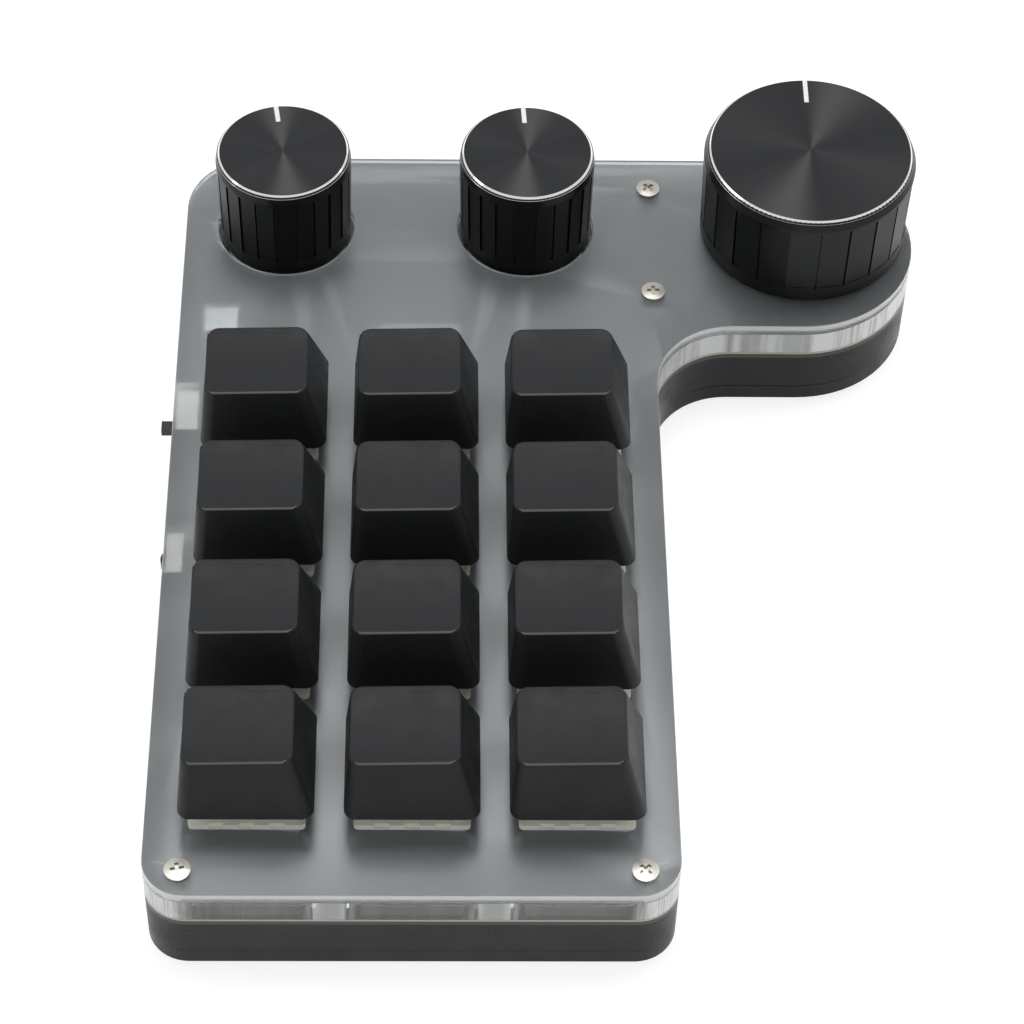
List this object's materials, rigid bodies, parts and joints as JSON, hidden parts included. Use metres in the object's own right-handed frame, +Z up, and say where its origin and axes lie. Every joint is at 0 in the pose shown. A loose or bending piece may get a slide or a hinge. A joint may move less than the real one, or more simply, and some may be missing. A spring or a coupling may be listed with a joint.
{
  "type": "macro keypad",
  "caption": "Macro keypad with rows of sprung keys, push-and-turn dials, a side slide switch and a side button in a case of stacked frosted, clear and black sheets.",
  "frame": {"origin": "middle of the underside of the part's box, on the surface that the feet stand on", "axes": "+X to the right along the key rows, +Y from the front edge to the dials at the rear, +Z up"},
  "size_m": [0.114, 0.1386, 0.0345],
  "materials": {
    "frosted_sheet": "frosted acrylic, grey where the dark board shows through",
    "clear_sheet": "clear acrylic with polished faces and sawn edges",
    "black_sheet": "black acrylic, glossy",
    "board": "glass-fibre circuit board under dark solder mask",
    "plated_steel": "nickel plated steel",
    "brass": "turned brass",
    "foot_rubber": "soft rubber",
    "cream_plastic": "moulded cream plastic",
    "spring_steel": "drawn spring wire",
    "black_plastic": "moulded black plastic",
    "encoder_plastic": "moulded dark plastic",
    "module_board": "circuit board with a metal can",
    "cell_pouch": "foil pouch",
    "white_plastic": "moulded white plastic and white paint",
    "keycap_plastic": "finely textured black plastic",
    "stem_plastic": "smooth low friction plastic",
    "bare_aluminium": "bare machined aluminium",
    "dial_black": "black anodised, spun top and polished side",
    "black_steel": "blackened steel"
  },
  "bodies": {
    "case": {"top_plate": "frosted_sheet", "spacer_plate": "clear_sheet", "circuit_board": "board", "case_frame": "black_sheet", "bottom_plate": "black_sheet", "case_screws": "plated_steel", "threaded_inserts": "brass", "rubber_feet": "foot_rubber", "switch_bases": "cream_plastic", "switch_covers": "cream_plastic", "switch_springs": "spring_steel", "switch_sockets": "black_plastic", "diodes": "black_plastic", "encoder_bases": "encoder_plastic", "encoder_covers": "plated_steel", "slide_switch": "cream_plastic", "side_button": "cream_plastic", "controller_module": "module_board", "usb_socket": "plated_steel", "battery": "cell_pouch", "battery_socket": "white_plastic"},
    "key_1_1": {"keycap_1_1": "keycap_plastic", "stem_1_1": "stem_plastic"},
    "key_1_2": {"keycap_1_2": "keycap_plastic", "stem_1_2": "stem_plastic"},
    "key_1_3": {"keycap_1_3": "keycap_plastic", "stem_1_3": "stem_plastic"},
    "key_2_1": {"keycap_2_1": "keycap_plastic", "stem_2_1": "stem_plastic"},
    "key_2_2": {"keycap_2_2": "keycap_plastic", "stem_2_2": "stem_plastic"},
    "key_2_3": {"keycap_2_3": "keycap_plastic", "stem_2_3": "stem_plastic"},
    "key_3_1": {"keycap_3_1": "keycap_plastic", "stem_3_1": "stem_plastic"},
    "key_3_2": {"keycap_3_2": "keycap_plastic", "stem_3_2": "stem_plastic"},
    "key_3_3": {"keycap_3_3": "keycap_plastic", "stem_3_3": "stem_plastic"},
    "key_4_1": {"keycap_4_1": "keycap_plastic", "stem_4_1": "stem_plastic"},
    "key_4_2": {"keycap_4_2": "keycap_plastic", "stem_4_2": "stem_plastic"},
    "key_4_3": {"keycap_4_3": "keycap_plastic", "stem_4_3": "stem_plastic"},
    "push_left": {"actuator_left": "white_plastic"},
    "dial_left": {"shaft_left": "bare_aluminium", "knob_left": "dial_black", "grub_screw_left": "black_steel"},
    "push_middle": {"actuator_middle": "white_plastic"},
    "dial_middle": {"shaft_middle": "bare_aluminium", "knob_middle": "dial_black", "grub_screw_middle": "black_steel"},
    "push_large": {"actuator_large": "white_plastic"},
    "dial_large": {"shaft_large": "bare_aluminium", "knob_large": "dial_black", "grub_screw_large": "black_steel"},
    "lever": {"slide_lever": "black_plastic"},
    "plunger": {"side_plunger": "black_plastic"}
  },
  "joints": [
    {"name": "key_1_1_press", "type": "slide", "parent": "case", "child": "key_1_1", "axis": [0, 0, -1], "range_m": [0, 0.004], "stiffness_N_per_m": 75, "springref_m": -0.004, "deforming": ["switch_springs"]},
    {"name": "key_1_2_press", "type": "slide", "parent": "case", "child": "key_1_2", "axis": [0, 0, -1], "range_m": [0, 0.004], "stiffness_N_per_m": 75, "springref_m": -0.004, "deforming": ["switch_springs"]},
    {"name": "key_1_3_press", "type": "slide", "parent": "case", "child": "key_1_3", "axis": [0, 0, -1], "range_m": [0, 0.004], "stiffness_N_per_m": 75, "springref_m": -0.004, "deforming": ["switch_springs"]},
    {"name": "key_2_1_press", "type": "slide", "parent": "case", "child": "key_2_1", "axis": [0, 0, -1], "range_m": [0, 0.004], "stiffness_N_per_m": 75, "springref_m": -0.004, "deforming": ["switch_springs"]},
    {"name": "key_2_2_press", "type": "slide", "parent": "case", "child": "key_2_2", "axis": [0, 0, -1], "range_m": [0, 0.004], "stiffness_N_per_m": 75, "springref_m": -0.004, "deforming": ["switch_springs"]},
    {"name": "key_2_3_press", "type": "slide", "parent": "case", "child": "key_2_3", "axis": [0, 0, -1], "range_m": [0, 0.004], "stiffness_N_per_m": 75, "springref_m": -0.004, "deforming": ["switch_springs"]},
    {"name": "key_3_1_press", "type": "slide", "parent": "case", "child": "key_3_1", "axis": [0, 0, -1], "range_m": [0, 0.004], "stiffness_N_per_m": 75, "springref_m": -0.004, "deforming": ["switch_springs"]},
    {"name": "key_3_2_press", "type": "slide", "parent": "case", "child": "key_3_2", "axis": [0, 0, -1], "range_m": [0, 0.004], "stiffness_N_per_m": 75, "springref_m": -0.004, "deforming": ["switch_springs"]},
    {"name": "key_3_3_press", "type": "slide", "parent": "case", "child": "key_3_3", "axis": [0, 0, -1], "range_m": [0, 0.004], "stiffness_N_per_m": 75, "springref_m": -0.004, "deforming": ["switch_springs"]},
    {"name": "key_4_1_press", "type": "slide", "parent": "case", "child": "key_4_1", "axis": [0, 0, -1], "range_m": [0, 0.004], "stiffness_N_per_m": 75, "springref_m": -0.004, "deforming": ["switch_springs"]},
    {"name": "key_4_2_press", "type": "slide", "parent": "case", "child": "key_4_2", "axis": [0, 0, -1], "range_m": [0, 0.004], "stiffness_N_per_m": 75, "springref_m": -0.004, "deforming": ["switch_springs"]},
    {"name": "key_4_3_press", "type": "slide", "parent": "case", "child": "key_4_3", "axis": [0, 0, -1], "range_m": [0, 0.004], "stiffness_N_per_m": 75, "springref_m": -0.004, "deforming": ["switch_springs"]},
    {"name": "dial_left_press", "type": "slide", "parent": "case", "child": "push_left", "axis": [0, 0, -1], "range_m": [0, 0.0005], "stiffness_N_per_m": 1500, "springref_m": -0.002},
    {"name": "dial_left_turn", "type": "hinge", "parent": "push_left", "child": "dial_left", "pos_m": [-0.03957, 0.05362, 0.02], "axis": [0, 0, 1], "continuous": true},
    {"name": "dial_middle_press", "type": "slide", "parent": "case", "child": "push_middle", "axis": [0, 0, -1], "range_m": [0, 0.0005], "stiffness_N_per_m": 1500, "springref_m": -0.002},
    {"name": "dial_middle_turn", "type": "hinge", "parent": "push_middle", "child": "dial_middle", "pos_m": [-0.00267, 0.05362, 0.02], "axis": [0, 0, 1], "continuous": true},
    {"name": "dial_large_press", "type": "slide", "parent": "case", "child": "push_large", "axis": [0, 0, -1], "range_m": [0, 0.0005], "stiffness_N_per_m": 1500, "springref_m": -0.002},
    {"name": "dial_large_turn", "type": "hinge", "parent": "push_large", "child": "dial_large", "pos_m": [0.04013, 0.05323, 0.02], "axis": [0, 0, 1], "continuous": true},
    {"name": "lever_slide", "type": "slide", "parent": "case", "child": "lever", "axis": [0, 1, 0], "range_m": [0, 0.0027]},
    {"name": "button_press", "type": "slide", "parent": "case", "child": "plunger", "axis": [1, 0, 0], "range_m": [0, 0.0003], "stiffness_N_per_m": 1500, "springref_m": -0.0006}
  ]
}
